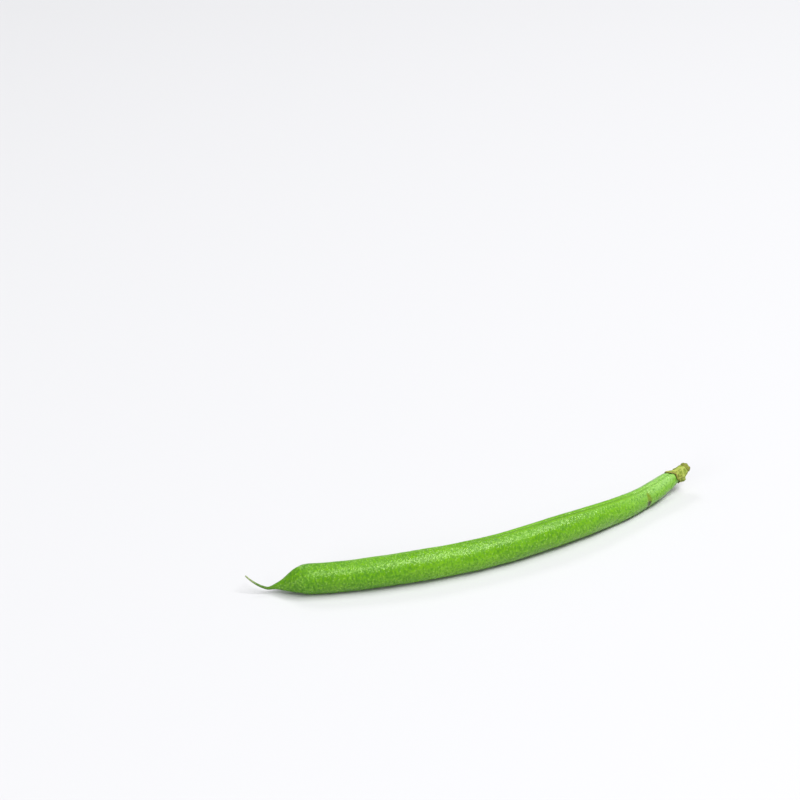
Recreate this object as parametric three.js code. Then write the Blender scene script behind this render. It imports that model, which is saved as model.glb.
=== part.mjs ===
// One green bean as picked: a long pod with a hooked tail at its tip, and at its other end
// the dried calyx and the snapped stalk. It lies on a flat surface, bowed towards -Y, with
// its stalk end towards +X. Millimetres, +Z up, origin under the middle of the bean.
//
// Every piece starts as a straight lathed body about the Y axis, where y is the distance
// along the bean's spine. Its vertices are then moved to the pod's own cross-section and
// bent along the spine. Stations are measured from the pod's tip, where the tail begins.
import * as THREE from "three";

const { clamp, degToRad, euclideanModulo, radToDeg, smoothstep } = THREE.MathUtils;

// The pod
const podLength = 146.5; // along the spine, from the tip to the end inside the calyx
const podHeight = 9.15; // from seam to seam at the thickest
const podWidth = 8.6; // across the two valves at the thickest
const tipRadius = 0.45; // where the pod runs out into the tail
const beakLength = 12; // the tip's ogee, from the tail to nearly full thickness
const slimBefore = 60; // the tip's half of the pod is a little slimmer before this station
const slimShare = 0.05;
const neckLength = 60; // the long taper towards the stalk
const neckShare = 0.6; // thickness left at its end, as a share of the full one
const neckPower = 1.5;
const endLength = 8; // the pod rounds off where the calyx covers it
const endShare = 0.52; // thickness lost by that rounding
const podSides = 40;
const sideGather = 0.3; // how strongly the mesh's sides gather towards the two seams
const tailRings = 9;
const beakRings = 14;
const podRings = 58;

// The tail, which is the flower's dried style
const tailLength = 7;
const tailEndRadius = 0.22;
const tailRise = 3;
const tailRisePower = 1.3;

// The spine: nearly an arc in plan, with a hook in the tail
const podTurn = 43.4; // degrees in plan, from the tip to the stalk
const turnLength = 128; // from there on the spine runs straight
const earlyTurn = 2.7; // degrees that the middle has turned beyond an even arc
const tailTurn = 36;
const seamLeanAtTip = -30; // the seam leans away from the bowed side, in degrees
const seamLeanAtStalk = 12; // and turns towards it along the pod
const walkStep = 0.25; // how finely the spine is walked

// How it lies: three flattened low spots, the pod arched a little between them, ends raised
const lowSpots = [16, 67, 117];
const flattening = 0.11; // how far the skin is pressed flat at a low spot
const archRise = 0.34;
const tipRise = 2;
const tipDip = 0.42; // share of that rise lost again where the tail begins
const tipDipLength = 1.8;
const stalkRise = 4.4;
const stalkRisePower = 2.5;

// The seams and the swellings over the seeds
const seamDepth = 0.34;
const seamHalfWidth = 0.42;
const shoulderHeight = 0.13;
const shoulderAt = 1.35; // from the seam's middle to its rounded shoulder
const shoulderHalfWidth = 0.75;
const backRidgeHeight = 0.14; // the seam on the other side is a low ridge
const backRidgeHalfWidth = 0.5;
const seedCount = 9;
const firstSeedAt = 17;
const lastSeedAt = 134;
const seedSwelling = 0.2;
const seedHalfLength = 4.2;

// The calyx: a dried cup of five lobes that hugs the pod's end, with a neck round the stalk
const fitGap = 0.3; // between neighbouring pieces
const calyxWall = 0.5;
const calyxCupLength = 1;
const calyxSlant = 3.6; // how much farther the cup reaches on one side than on the other
const calyxSlantAt = -20; // degrees from the upper seam, where it reaches farthest
const calyxNeckLength = 1.8; // past the pod's end
const calyxNeckWall = 0.4;
const calyxSides = 60;
const wallSteps = 6;
const lobeCurl = 0.25; // how far a lobe's tip stands off the pod
const lobeCurlLength = 2;
const lobeSharpness = 1.3;
// Each lobe's middle in degrees from the upper seam, its length and its half width
const calyxLobes = [
  { at: -20, length: 1.8, halfWidth: 42 },
  { at: 62, length: 1.3, halfWidth: 36 },
  { at: 132, length: 0.9, halfWidth: 34 },
  { at: 200, length: 1.1, halfWidth: 34 },
  { at: 270, length: 1.5, halfWidth: 36 },
];

// The stalk, snapped off just past the calyx
const stalkLength = 2.6;
const stalkRadius = 1.35;
const brokenEndRadius = 1.75;
const flareFrom = 0.6; // share of the stalk's length where its broken end starts to widen
const stalkRibs = 5;
const ribHeight = 0.08;
const tearDepth = 0.3; // how unevenly the broken end is torn
const tearFrom = 0.6; // share of the length where the tear starts to show
const pithDepth = 0.33; // the torn end is hollowed towards its middle
const stalkSides = 30;
const stalkRings = 7;

const podSkin = { name: "pod", color: "#69ad2a", roughness: 0.42 };
const drySepal = { name: "calyx", color: "#a9b258", roughness: 0.75 };
const dryStalk = { name: "stalk", color: "#93913f", roughness: 0.8 };

const clamp01 = (value) => clamp(value, 0, 1);
const bump = (distance, halfWidth) => Math.exp(-((distance / halfWidth) ** 2));

// Share of the full thickness at a station of the pod.
function thickness(station) {
  const tipShare = (2 * tipRadius) / podHeight;
  const beak = tipShare + (1 - tipShare) * smoothstep(station, 0, beakLength);
  const slim = 1 - slimShare * clamp01(1 - station / slimBefore) ** 2;
  const fromStalk = clamp01((podLength - station) / neckLength);
  const neck = 1 - (1 - neckShare) * (1 - fromStalk) ** neckPower;
  const rounding = 1 - endShare * clamp01(1 - (podLength - station) / endLength) ** 2;
  return Math.min(beak, neck) * slim * rounding;
}

// The pod's radius at a station, in the direction `angle` from its upper seam.
function podRadius(angle, station) {
  const share = thickness(station);
  const high = (podHeight / 2) * share;
  const wide = (podWidth / 2) * share;
  const oval = (high * wide) / Math.hypot(wide * Math.cos(angle), high * Math.sin(angle));
  const turned = Math.abs(Math.atan2(Math.sin(angle), Math.cos(angle)));
  const fromSeam = (turned * podHeight) / 2;
  const fromBack = ((Math.PI - turned) * podHeight) / 2;
  const shoulder = shoulderHeight * bump(fromSeam - shoulderAt, shoulderHalfWidth);
  const seam = shoulder - seamDepth * bump(fromSeam, seamHalfWidth);
  const back = backRidgeHeight * bump(fromBack, backRidgeHalfWidth);
  let seeds = 0;
  for (let i = 0; i < seedCount; i++) {
    const at = firstSeedAt + ((lastSeedAt - firstSeedAt) * i) / (seedCount - 1);
    seeds += seedSwelling * bump(station - at, seedHalfLength);
  }
  return oval + share * (seam + back + seeds * Math.sin(angle) ** 2);
}

// The radius of the tail, and of the pod past it, in any direction.
function bodyRadius(angle, station) {
  if (station >= 0) return podRadius(angle, station);
  const along = -station / tailLength;
  const tip = podRadius(angle, 0);
  return tip + (tailEndRadius - tip) * along;
}

// The angle from straight up, towards the bowed side, at which the upper seam lies.
function seamLean(station) {
  const share = clamp01(station / podLength);
  return degToRad(seamLeanAtTip + (seamLeanAtStalk - seamLeanAtTip) * share);
}

// How far the pod's underside is above the surface at a station; below it means flattened.
function undersideHeight(station) {
  const [first, last] = [lowSpots[0], lowSpots[lowSpots.length - 1]];
  if (station < first) {
    const dip = 1 - tipDip * bump(station, tipDipLength);
    return dip * tipRise * ((first - station) / first) ** 2 - flattening;
  }
  if (station > last) {
    const past = (station - last) / (podLength - last);
    return stalkRise * past ** stalkRisePower - flattening;
  }
  const next = lowSpots.findIndex((spot) => station <= spot && spot > first);
  const share = (station - lowSpots[next - 1]) / (lowSpots[next] - lowSpots[next - 1]);
  return archRise * Math.sin(Math.PI * share) ** 2 - flattening;
}

// The lowest point of the cross-section below its own middle.
function sectionDepth(station) {
  const lean = seamLean(station);
  let deepest = 0;
  for (let side = 0; side < podSides; side++) {
    const angle = (2 * Math.PI * side) / podSides;
    deepest = Math.max(deepest, -Math.cos(angle + lean) * podRadius(angle, station));
  }
  return deepest;
}

function spineHeight(station) {
  if (station >= 0) return undersideHeight(station) + sectionDepth(Math.min(station, podLength));
  return spineHeight(0) + tailRise * (-station / tailLength) ** tailRisePower;
}

// The direction of the spine in plan, in radians from +X.
function heading(station) {
  const share = clamp01(station / turnLength);
  const arc = podTurn * (share - 0.5) + 4 * earlyTurn * share * (1 - share);
  const tail = tailTurn * Math.max(0, -station / tailLength);
  return degToRad(arc - tail);
}

// The spine's points, walked from beyond the tail's end to beyond the stalk's.
const walkFrom = -tailLength - 1;
const walkTo = podLength + stalkLength + 2;
const spine = [];
for (let station = walkFrom, x = 0, y = 0; station <= walkTo; station += walkStep) {
  spine.push(new THREE.Vector3(x, y, spineHeight(station)));
  x += Math.cos(heading(station + walkStep / 2)) * walkStep;
  y += Math.sin(heading(station + walkStep / 2)) * walkStep;
}

function spinePoint(station) {
  const place = (station - walkFrom) / walkStep;
  const before = Math.floor(place);
  return spine[before].clone().lerp(spine[before + 1], place - before);
}

// Moves a straight body's vertices onto the bean: `shape` gives each vertex its station,
// radius and angle from the upper seam, from its own angle, height and radius.
function bendAlongSpine(geometry, shape) {
  const position = geometry.getAttribute("position");
  const vertex = new THREE.Vector3();
  for (let i = 0; i < position.count; i++) {
    vertex.fromBufferAttribute(position, i);
    const turned = Math.atan2(vertex.x, vertex.z);
    const across = Math.hypot(vertex.x, vertex.z);
    const { station, radius, angle = turned } = shape(turned, vertex.y, across);
    const along = spinePoint(station + walkStep).sub(spinePoint(station - walkStep)).normalize();
    const up = new THREE.Vector3(0, 0, 1).projectOnPlane(along).normalize();
    const side = new THREE.Vector3().crossVectors(along, up);
    const lean = angle + seamLean(station);
    vertex
      .copy(spinePoint(station))
      .addScaledVector(up, radius * Math.cos(lean))
      .addScaledVector(side, radius * Math.sin(lean));
    position.setXYZ(i, vertex.x, vertex.y, Math.max(0, vertex.z));
  }
  geometry.deleteAttribute("normal");
  geometry.deleteAttribute("uv");
  geometry.computeVertexNormals();
  return geometry;
}

// Evenly spaced numbers from `from` to `to`, both included.
function steps(from, to, count) {
  return Array.from({ length: count + 1 }, (_, i) => from + ((to - from) * i) / count);
}

function makePod() {
  const stations = [
    ...steps(-tailLength, 0, tailRings),
    ...steps(0, beakLength, beakRings).slice(1),
    ...steps(beakLength, podLength, podRings).slice(1),
  ];
  const profile = stations.map((station) => new THREE.Vector2(1, station));
  profile.unshift(new THREE.Vector2(0, -tailLength - tailEndRadius / 2));
  profile.push(new THREE.Vector2(0, podLength));
  return bendAlongSpine(new THREE.LatheGeometry(profile, podSides), (turned, y, share) => {
    const angle = turned - sideGather * Math.sin(2 * turned);
    return { station: y, radius: share * bodyRadius(angle, y), angle };
  });
}

// How far the calyx reaches over the pod in one direction.
function calyxReach(angle) {
  const slant = (1 + Math.cos(angle - degToRad(calyxSlantAt))) / 2;
  let reach = calyxCupLength + calyxSlant * slant;
  for (const lobe of calyxLobes) {
    const off = Math.abs(euclideanModulo(radToDeg(angle) - lobe.at + 180, 360) - 180);
    reach += lobe.length * clamp01(1 - off / lobe.halfWidth) ** lobeSharpness;
  }
  return reach;
}

// The lathed ring starts as a closed square: its sides are the hole, the wall on the pod, the
// lobes' edge and the outside. Heights run from 0 at the pod's end to 1 at a lobe's edge, and
// to -1 at the end of the neck.
function makeCalyx() {
  const [hole, inner, outer] = [1, 2, 3];
  const profile = [new THREE.Vector2(hole, -1), new THREE.Vector2(hole, 0)];
  for (const share of steps(0, 1, wallSteps)) profile.push(new THREE.Vector2(inner, share));
  for (const share of steps(1, -1, 2 * wallSteps)) profile.push(new THREE.Vector2(outer, share));
  profile.push(profile[0].clone());
  const inside = podLength + fitGap;
  const holeRadius = stalkRadius + ribHeight + fitGap;
  return bendAlongSpine(new THREE.LatheGeometry(profile, calyxSides), (turned, y, x) => {
    const side = Math.round(x);
    const reach = y > 0 ? calyxReach(turned) * y : calyxNeckLength * y;
    const station = inside - reach;
    if (side === hole) return { station, radius: holeRadius };
    const skin = podRadius(turned, Math.min(station, podLength)) + fitGap;
    const curl = lobeCurl * clamp01((reach - calyxCupLength) / lobeCurlLength);
    if (side === inner) return { station, radius: skin + curl };
    const neck = smoothstep(-y, 0, 1) * (skin + calyxWall - holeRadius - calyxNeckWall);
    return { station, radius: skin + curl + calyxWall - neck };
  });
}

function makeStalk() {
  const start = podLength + 2 * fitGap;
  const profile = [new THREE.Vector2(0, 0)];
  for (const share of steps(0, 1, stalkRings)) profile.push(new THREE.Vector2(1, share));
  profile.push(new THREE.Vector2(0, 1 - pithDepth / stalkLength));
  return bendAlongSpine(new THREE.LatheGeometry(profile, stalkSides), (turned, y, share) => {
    const flare = (brokenEndRadius - stalkRadius) * smoothstep(y, flareFrom, 1);
    const rib = ribHeight * Math.cos(stalkRibs * turned);
    const ragged = Math.sin(2 * turned + 0.6) + 0.5 * Math.sin(7 * turned);
    const torn = tearDepth * ragged * smoothstep(y, tearFrom, 1);
    return {
      station: start + stalkLength * y + torn * share,
      radius: share * (stalkRadius + flare + rib),
    };
  });
}

function mesh(name, geometry, finish) {
  const made = new THREE.Mesh(geometry, new THREE.MeshStandardMaterial(finish));
  made.name = name;
  return made;
}

const bean = new THREE.Group();
bean.add(mesh("pod", makePod(), podSkin));
bean.add(mesh("calyx", makeCalyx(), drySepal));
bean.add(mesh("stalk", makeStalk(), dryStalk));

// The origin is under the middle of the bean, on the surface that it lies on.
const middle = new THREE.Box3().setFromObject(bean).getCenter(new THREE.Vector3());
bean.position.set(-middle.x, -middle.y, 0);

export default bean;
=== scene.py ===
"""One fresh green bean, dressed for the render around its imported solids.

The pod, its dried calyx and its snapped stalk are modelled straight, with the pod's spine on
the X axis and its upper seam towards +Z, and are then bent together along the spine that the
solids follow. Lengths are in metres. A station is the distance along the spine from the pod's
tip, where the tail begins; the tail's stations are negative.
"""

from __future__ import annotations

import logging
import math
import random
from collections.abc import Callable, Iterator, Sequence
from contextlib import contextmanager
from dataclasses import dataclass, field
from enum import Enum

import bmesh
import bpy
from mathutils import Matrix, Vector


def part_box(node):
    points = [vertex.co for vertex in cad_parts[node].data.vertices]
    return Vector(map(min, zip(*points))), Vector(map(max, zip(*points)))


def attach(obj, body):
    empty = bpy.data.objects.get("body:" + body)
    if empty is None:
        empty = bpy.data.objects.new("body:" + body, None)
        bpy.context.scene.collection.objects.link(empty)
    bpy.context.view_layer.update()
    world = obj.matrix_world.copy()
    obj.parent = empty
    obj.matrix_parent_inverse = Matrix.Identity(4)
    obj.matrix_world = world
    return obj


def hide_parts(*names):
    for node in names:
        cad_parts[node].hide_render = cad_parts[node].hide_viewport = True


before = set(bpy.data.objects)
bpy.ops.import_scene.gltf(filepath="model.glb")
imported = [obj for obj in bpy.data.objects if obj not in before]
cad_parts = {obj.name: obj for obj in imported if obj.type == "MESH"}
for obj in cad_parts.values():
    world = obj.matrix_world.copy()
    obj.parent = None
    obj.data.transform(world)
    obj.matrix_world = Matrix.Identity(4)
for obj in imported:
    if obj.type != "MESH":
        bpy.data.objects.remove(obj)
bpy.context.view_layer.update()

log = logging.getLogger("green_bean")

MM = 0.001
STRAIGHT = "straight"
RIM = "rim"


class Push(Enum):
    """The direction in which a weighted displacement moves a skin."""

    OUTWARD = "NORMAL"
    ALONG = "X"


# Small helpers


def linear(code: str) -> tuple[float, float, float, float]:
    """Turns an sRGB hex colour into Blender's linear colour.

    Args:
        code: a colour such as "#69ad2a".

    Returns:
        Linear red, green, blue and an alpha of 1.
    """
    values = [int(code[i : i + 2], 16) / 255 for i in (1, 3, 5)]
    scene = [v / 12.92 if v <= 0.04045 else ((v + 0.055) / 1.055) ** 2.4 for v in values]
    return scene[0], scene[1], scene[2], 1.0


def clamp(value: float, low: float = 0.0, high: float = 1.0) -> float:
    """Returns value kept between low and high."""
    return min(high, max(low, value))


def smooth(value: float, start: float = 0.0) -> float:
    """Returns a smooth step from 0 at start to 1 at 1."""
    share = clamp((value - start) / (1 - start))
    return share * share * (3 - 2 * share)


def bump(distance: float, half_width: float) -> float:
    """Returns a bell of height 1 that falls to 1/e at half_width."""
    return math.exp(-((distance / half_width) ** 2))


def turn_of(place: Vector) -> float:
    """Returns the angle of a straight place from the upper seam, towards the bowed side."""
    return math.atan2(-place.y, place.z)


def pick(piece: bpy.types.Object) -> None:
    """Selects one object alone and makes it active.

    Args:
        piece: the object.
    """
    bpy.ops.object.select_all(action="DESELECT")
    piece.select_set(True)
    bpy.context.view_layer.objects.active = piece


@contextmanager
def editing(piece: bpy.types.Object) -> Iterator[None]:
    """Opens edit mode on one piece alone, and closes it again.

    Args:
        piece: the object to edit.

    Yields:
        None, while the piece is open.
    """
    pick(piece)
    bpy.ops.object.mode_set(mode="EDIT")
    yield
    bpy.ops.object.mode_set(mode="OBJECT")


def select_where(piece: bpy.types.Object, wanted: Callable[[Vector], bool]) -> None:
    """Selects, in edit mode, the vertices whose place passes a test.

    Args:
        piece: the object in edit mode.
        wanted: takes a vertex's place and says whether it is selected.
    """
    bpy.ops.mesh.select_all(action="DESELECT")
    shape = bmesh.from_edit_mesh(piece.data)
    for vertex in shape.verts:
        vertex.select = wanted(vertex.co)
    shape.select_flush(True)
    bmesh.update_edit_mesh(piece.data)


def apply_modifier(piece: bpy.types.Object, kind: str, **settings: object) -> None:
    """Adds a modifier with its settings and applies it.

    Args:
        piece: the object that takes the modifier.
        kind: Blender's name for the type of modifier.
        **settings: the modifier's properties by name.
    """
    pick(piece)
    modifier = piece.modifiers.new(kind.lower(), kind)
    for name, value in settings.items():
        setattr(modifier, name, value)
    bpy.ops.object.modifier_apply(modifier=modifier.name)


def subdivide(piece: bpy.types.Object, levels: int) -> None:
    """Smooths a piece with a Subdivision Surface and applies it."""
    apply_modifier(piece, "SUBSURF", levels=levels, render_levels=levels)


def weigh(piece: bpy.types.Object, name: str, weight: Callable[[Vector], float]) -> str:
    """Gives each vertex a weight that depends on its place.

    Args:
        piece: the object that gets the vertex group.
        name: the group's name.
        weight: takes a vertex's place and gives a weight from 0 to 1.

    Returns:
        The group's name.
    """
    group = piece.vertex_groups.new(name=name)
    for vertex in piece.data.vertices:
        share = weight(vertex.co)
        if share > 0:
            group.add([vertex.index], min(1.0, share), "REPLACE")
    return group.name


def raise_skin(
    piece: bpy.types.Object,
    name: str,
    height: float,
    weight: Callable[[Vector], float],
    push: Push = Push.OUTWARD,
) -> None:
    """Raises part of a skin, or sinks it where height is negative.

    Args:
        piece: the object whose skin moves.
        name: what the raised form is.
        height: how far a vertex of weight 1 moves.
        weight: takes a vertex's place and gives a weight from 0 to 1.
        push: the direction of the move.
    """
    group = weigh(piece, name, weight)
    apply_modifier(
        piece, "DISPLACE", strength=height, mid_level=0, direction=push.value, vertex_group=group
    )


def roughen(
    piece: bpy.types.Object, name: str, grain: float, height: float, group: str = ""
) -> None:
    """Moves a skin in and out by a cloud pattern.

    Args:
        piece: the object whose skin moves.
        name: what the unevenness is.
        grain: the size of the pattern's features.
        height: how far the highest and the lowest points are apart.
        group: the vertex group that the pattern is kept to, or none.
    """
    clouds = bpy.data.textures.new(name, "CLOUDS")
    clouds.noise_scale = grain
    clouds.noise_depth = 2
    apply_modifier(
        piece,
        "DISPLACE",
        texture=clouds,
        texture_coords="LOCAL",
        strength=height,
        mid_level=0.5,
        vertex_group=group,
    )


def keep_straight_place(piece: bpy.types.Object) -> None:
    """Stores each vertex's place before the bend, for the patterns that follow the pod.

    Args:
        piece: the straight object.
    """
    store = piece.data.attributes.new(STRAIGHT, "FLOAT_VECTOR", "POINT")
    for vertex, kept in zip(piece.data.vertices, store.data):
        kept.vector = vertex.co


def mark_rim(piece: bpy.types.Object, share: Callable[[Vector], float]) -> None:
    """Stores how near each vertex is to a rim, for the colours there.

    Args:
        piece: the object that gets the numbers.
        share: takes a vertex's place and gives its number.
    """
    store = piece.data.attributes.new(RIM, "FLOAT", "POINT")
    for vertex, kept in zip(piece.data.vertices, store.data):
        kept.value = share(vertex.co)


def select_open_ring() -> None:
    """Selects the open end of the mesh in edit mode."""
    bpy.ops.mesh.select_mode(type="EDGE")
    bpy.ops.mesh.select_all(action="DESELECT")
    bpy.ops.mesh.select_non_manifold()


def face_outwards() -> None:
    """Turns the faces of the mesh in edit mode outwards."""
    bpy.ops.mesh.select_mode(type="VERT")
    bpy.ops.mesh.select_all(action="SELECT")
    bpy.ops.mesh.normals_make_consistent(inside=False)


def smooth_shade(piece: bpy.types.Object, angle: float) -> None:
    """Shades a finished piece smooth and drops its weights.

    Args:
        piece: the object.
        angle: the angle between faces, in degrees, past which an edge stays sharp.
    """
    pick(piece)
    bpy.ops.object.shade_smooth_by_angle(angle=math.radians(angle))
    piece.vertex_groups.clear()


@dataclass(frozen=True)
class Ring:
    """One ring of a body that is extruded along the spine."""

    station: float
    radius: float


def grow(rings: Sequence[Ring]) -> None:
    """Extrudes the selected ring along X, from the first of the rings to the last.

    Args:
        rings: the selected ring first, then each one that is made.
    """
    for before, after in zip(rings, rings[1:]):
        step = (after.station - before.station, 0, 0)
        bpy.ops.mesh.extrude_region_move(TRANSFORM_OT_translate={"value": step})
        scale = after.radius / before.radius
        centre = (after.station, 0, 0)
        bpy.ops.transform.resize(value=(1, scale, scale), center_override=centre)


def close_end() -> None:
    """Closes the body at the selected ring with a pole in its middle."""
    bpy.ops.mesh.extrude_region_move()
    bpy.ops.mesh.merge(type="CENTER")


def start_ring(name: str, ring: Ring, sides: int, closed: bool) -> bpy.types.Object:
    """Adds the circle that a body grows from, across the X axis.

    Args:
        name: the new object's name.
        ring: the circle's station and radius.
        sides: its number of vertices.
        closed: whether it is filled with a fan.

    Returns:
        The new object, with its place in its mesh.
    """
    bpy.ops.mesh.primitive_circle_add(
        vertices=sides,
        radius=ring.radius,
        fill_type="TRIFAN" if closed else "NOTHING",
        location=(ring.station, 0, 0),
        rotation=(0, math.pi / 2, 0),
    )
    piece = bpy.context.active_object
    piece.name = name
    piece.data.name = name
    bpy.ops.object.transform_apply(location=True, rotation=True, scale=True)
    return piece


def spaced(start: float, stop: float, count: int) -> list[float]:
    """Returns count + 1 evenly spaced numbers from start to stop."""
    return [start + (stop - start) * i / count for i in range(count + 1)]


# The bean's course


@dataclass
class Spine:
    """The line that the bean follows, and how high it lies above the surface."""

    pod_length: float = 146.5 * MM
    tail_length: float = 7 * MM
    pod_turn: float = 43.4
    turn_length: float = 128 * MM
    early_turn: float = 2.7
    tail_turn: float = 36
    seam_lean_at_tip: float = -30
    seam_lean_at_stalk: float = 12
    low_spots: tuple[float, float, float] = (16 * MM, 67 * MM, 117 * MM)
    flattening: float = 0.11 * MM
    arch_rise: float = 0.34 * MM
    tip_rise: float = 2 * MM
    tip_dip: float = 0.42
    tip_dip_length: float = 1.8 * MM
    stalk_rise: float = 4.4 * MM
    stalk_rise_power: float = 2.5
    tail_rise: float = 3 * MM
    tail_rise_power: float = 1.3
    lead: float = 9 * MM
    reach: float = 156 * MM
    step: float = 0.5 * MM
    depth_window: int = 3
    guide: bpy.types.Object | None = field(default=None, init=False)
    gains: list[float] = field(default_factory=list, init=False)
    shift: Vector = field(default_factory=Vector, init=False)

    def heading(self, station: float) -> float:
        """Finds the spine's direction in plan.

        Args:
            station: the distance along the spine from the pod's tip.

        Returns:
            The direction in radians from +X.
        """
        share = clamp(station / self.turn_length)
        arc = self.pod_turn * (share - 0.5) + 4 * self.early_turn * share * (1 - share)
        tail = self.tail_turn * max(0.0, -station / self.tail_length)
        return math.radians(arc - tail)

    def seam_lean(self, station: float) -> float:
        """Finds how far the upper seam leans towards the bowed side.

        Args:
            station: the distance along the spine from the pod's tip.

        Returns:
            The seam's angle from straight up, in radians.
        """
        share = clamp(station / self.pod_length)
        return math.radians(
            self.seam_lean_at_tip + (self.seam_lean_at_stalk - self.seam_lean_at_tip) * share
        )

    def underside_height(self, station: float) -> float:
        """Finds how high the underside lies between and past the low spots.

        Args:
            station: the distance along the spine from the pod's tip.

        Returns:
            The height above the surface, below 0 where the pod is flattened.
        """
        first, last = self.low_spots[0], self.low_spots[-1]
        if station < first:
            dip = 1 - self.tip_dip * bump(station, self.tip_dip_length)
            return dip * self.tip_rise * ((first - station) / first) ** 2 - self.flattening
        if station > last:
            past = (station - last) / (self.pod_length - last)
            return self.stalk_rise * past**self.stalk_rise_power - self.flattening
        spots = zip(self.low_spots, self.low_spots[1:])
        before, after = next(pair for pair in spots if station <= pair[1])
        share = (station - before) / (after - before)
        return self.arch_rise * math.sin(math.pi * share) ** 2 - self.flattening

    def depths(self, pod: bpy.types.Object) -> Callable[[float], float]:
        """Measures how deep the straight pod's skin reaches below the spine.

        Args:
            pod: the straight pod, before the bend.

        Returns:
            A function from a station to the depth there.
        """
        count = int(self.pod_length / self.step) + 1
        deepest = [0.0] * count
        for vertex in pod.data.vertices:
            slot = round(vertex.co.x / self.step)
            if 0 <= slot < count:
                lean = self.seam_lean(vertex.co.x)
                depth = -(vertex.co.z * math.cos(lean) + vertex.co.y * math.sin(lean))
                deepest[slot] = max(deepest[slot], depth)

        def depth_at(station: float) -> float:
            """Finds the mean depth round a station.

            Args:
                station: the distance along the spine from the pod's tip.

            Returns:
                How deep the skin reaches below the spine there.
            """
            middle = round(clamp(station, 0, self.pod_length) / self.step)
            window = deepest[max(0, middle - self.depth_window) : middle + self.depth_window + 1]
            return sum(window) / len(window)

        return depth_at

    def lay_guide(self, pod: bpy.types.Object) -> None:
        """Makes the guide curve that the pieces are bent along.

        Args:
            pod: the straight pod, whose depth sets the spine's height.
        """
        depth_at = self.depths(pod)
        curve = bpy.data.curves.new("spine_guide", "CURVE")
        curve.dimensions = "3D"
        curve.twist_mode = "Z_UP"
        line = curve.splines.new("POLY")
        count = int((self.lead + self.reach) / self.step)
        line.points.add(count - 1)
        x, y, gain, last_height = 0.0, 0.0, 0.0, None
        for i, point in enumerate(line.points):
            station = i * self.step - self.lead
            height = self.underside_height(max(0.0, station)) + depth_at(station)
            if station < 0:
                height += self.tail_rise * (-station / self.tail_length) ** self.tail_rise_power
            if last_height is not None:
                gain += math.hypot(self.step, height - last_height) - self.step
            last_height = height
            self.gains.append(gain)
            point.co = (x, y, height, 1)
            point.tilt = self.seam_lean(station)
            direction = self.heading(station + self.step / 2)
            x += math.cos(direction) * self.step
            y += math.sin(direction) * self.step
        self.guide = bpy.data.objects.new("spine_guide", curve)
        self.guide.location = (-self.lead, 0, 0)
        bpy.context.collection.objects.link(self.guide)

    def gain_at(self, station: float) -> float:
        """Finds how much longer than its plan the sloping guide is up to a station.

        Args:
            station: the distance along the spine from the pod's tip.

        Returns:
            The gain in length.
        """
        place = (station + self.lead) / self.step
        before = int(place)
        step = self.gains[before + 1] - self.gains[before]
        return self.gains[before] + step * (place - before)

    def bend(self, piece: bpy.types.Object) -> None:
        """Stretches a straight piece where the guide slopes, and bends it along the guide.

        Args:
            piece: the straight piece.
        """
        most = self.gains[-1]
        raise_skin(piece, "slope", most, lambda place: self.gain_at(place.x) / most, Push.ALONG)
        apply_modifier(piece, "CURVE", object=self.guide, deform_axis="POS_X")

    def settle(self, pod: bpy.types.Object) -> None:
        """Works out the move that puts the bent pod where the solid pod lies.

        Args:
            pod: the bent pod.
        """
        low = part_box("pod")[0]
        bent_low = Vector(min(v.co[i] for v in pod.data.vertices) for i in range(3))
        self.shift = Vector((low.x - bent_low.x, low.y - bent_low.y, 0))

    def place(self, piece: bpy.types.Object) -> None:
        """Moves a bent piece into the row's frame and flattens what is under the surface.

        Args:
            piece: the bent piece.
        """
        with editing(piece):
            bpy.ops.mesh.select_all(action="SELECT")
            bpy.ops.transform.translate(value=self.shift)
            select_where(piece, lambda place: place.z < 0)
            bpy.ops.transform.resize(value=(1, 1, 0), center_override=(0, 0, 0))

    def remove_guide(self) -> None:
        """Deletes the guide curve."""
        bpy.data.objects.remove(self.guide)


# Finishes


class Pattern(Enum):
    """A kind of pattern that the finishes are painted with."""

    CLOUDS = "ShaderNodeTexNoise"
    CELLS = "ShaderNodeTexVoronoi"


@dataclass(frozen=True)
class Fade:
    """A smooth run from low at start to high at stop, which may lie on either side of it."""

    start: float
    stop: float
    low: float = 0.0
    high: float = 1.0


def add_node(
    tree: bpy.types.NodeTree,
    kind: str,
    sockets: dict[str | int, object] | None = None,
    **settings: object,
) -> bpy.types.Node:
    """Adds a shader node with its settings and links.

    Args:
        tree: the material's node tree.
        kind: Blender's name for the type of node.
        sockets: for each input socket, by name or number, a value or the output that feeds it.
        **settings: the node's properties by name.

    Returns:
        The new node.
    """
    node = tree.nodes.new(kind)
    for name, value in settings.items():
        setattr(node, name, value)
    for socket, value in (sockets or {}).items():
        if isinstance(value, bpy.types.NodeSocket):
            tree.links.new(value, node.inputs[socket])
        else:
            node.inputs[socket].default_value = value
    return node


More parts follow.
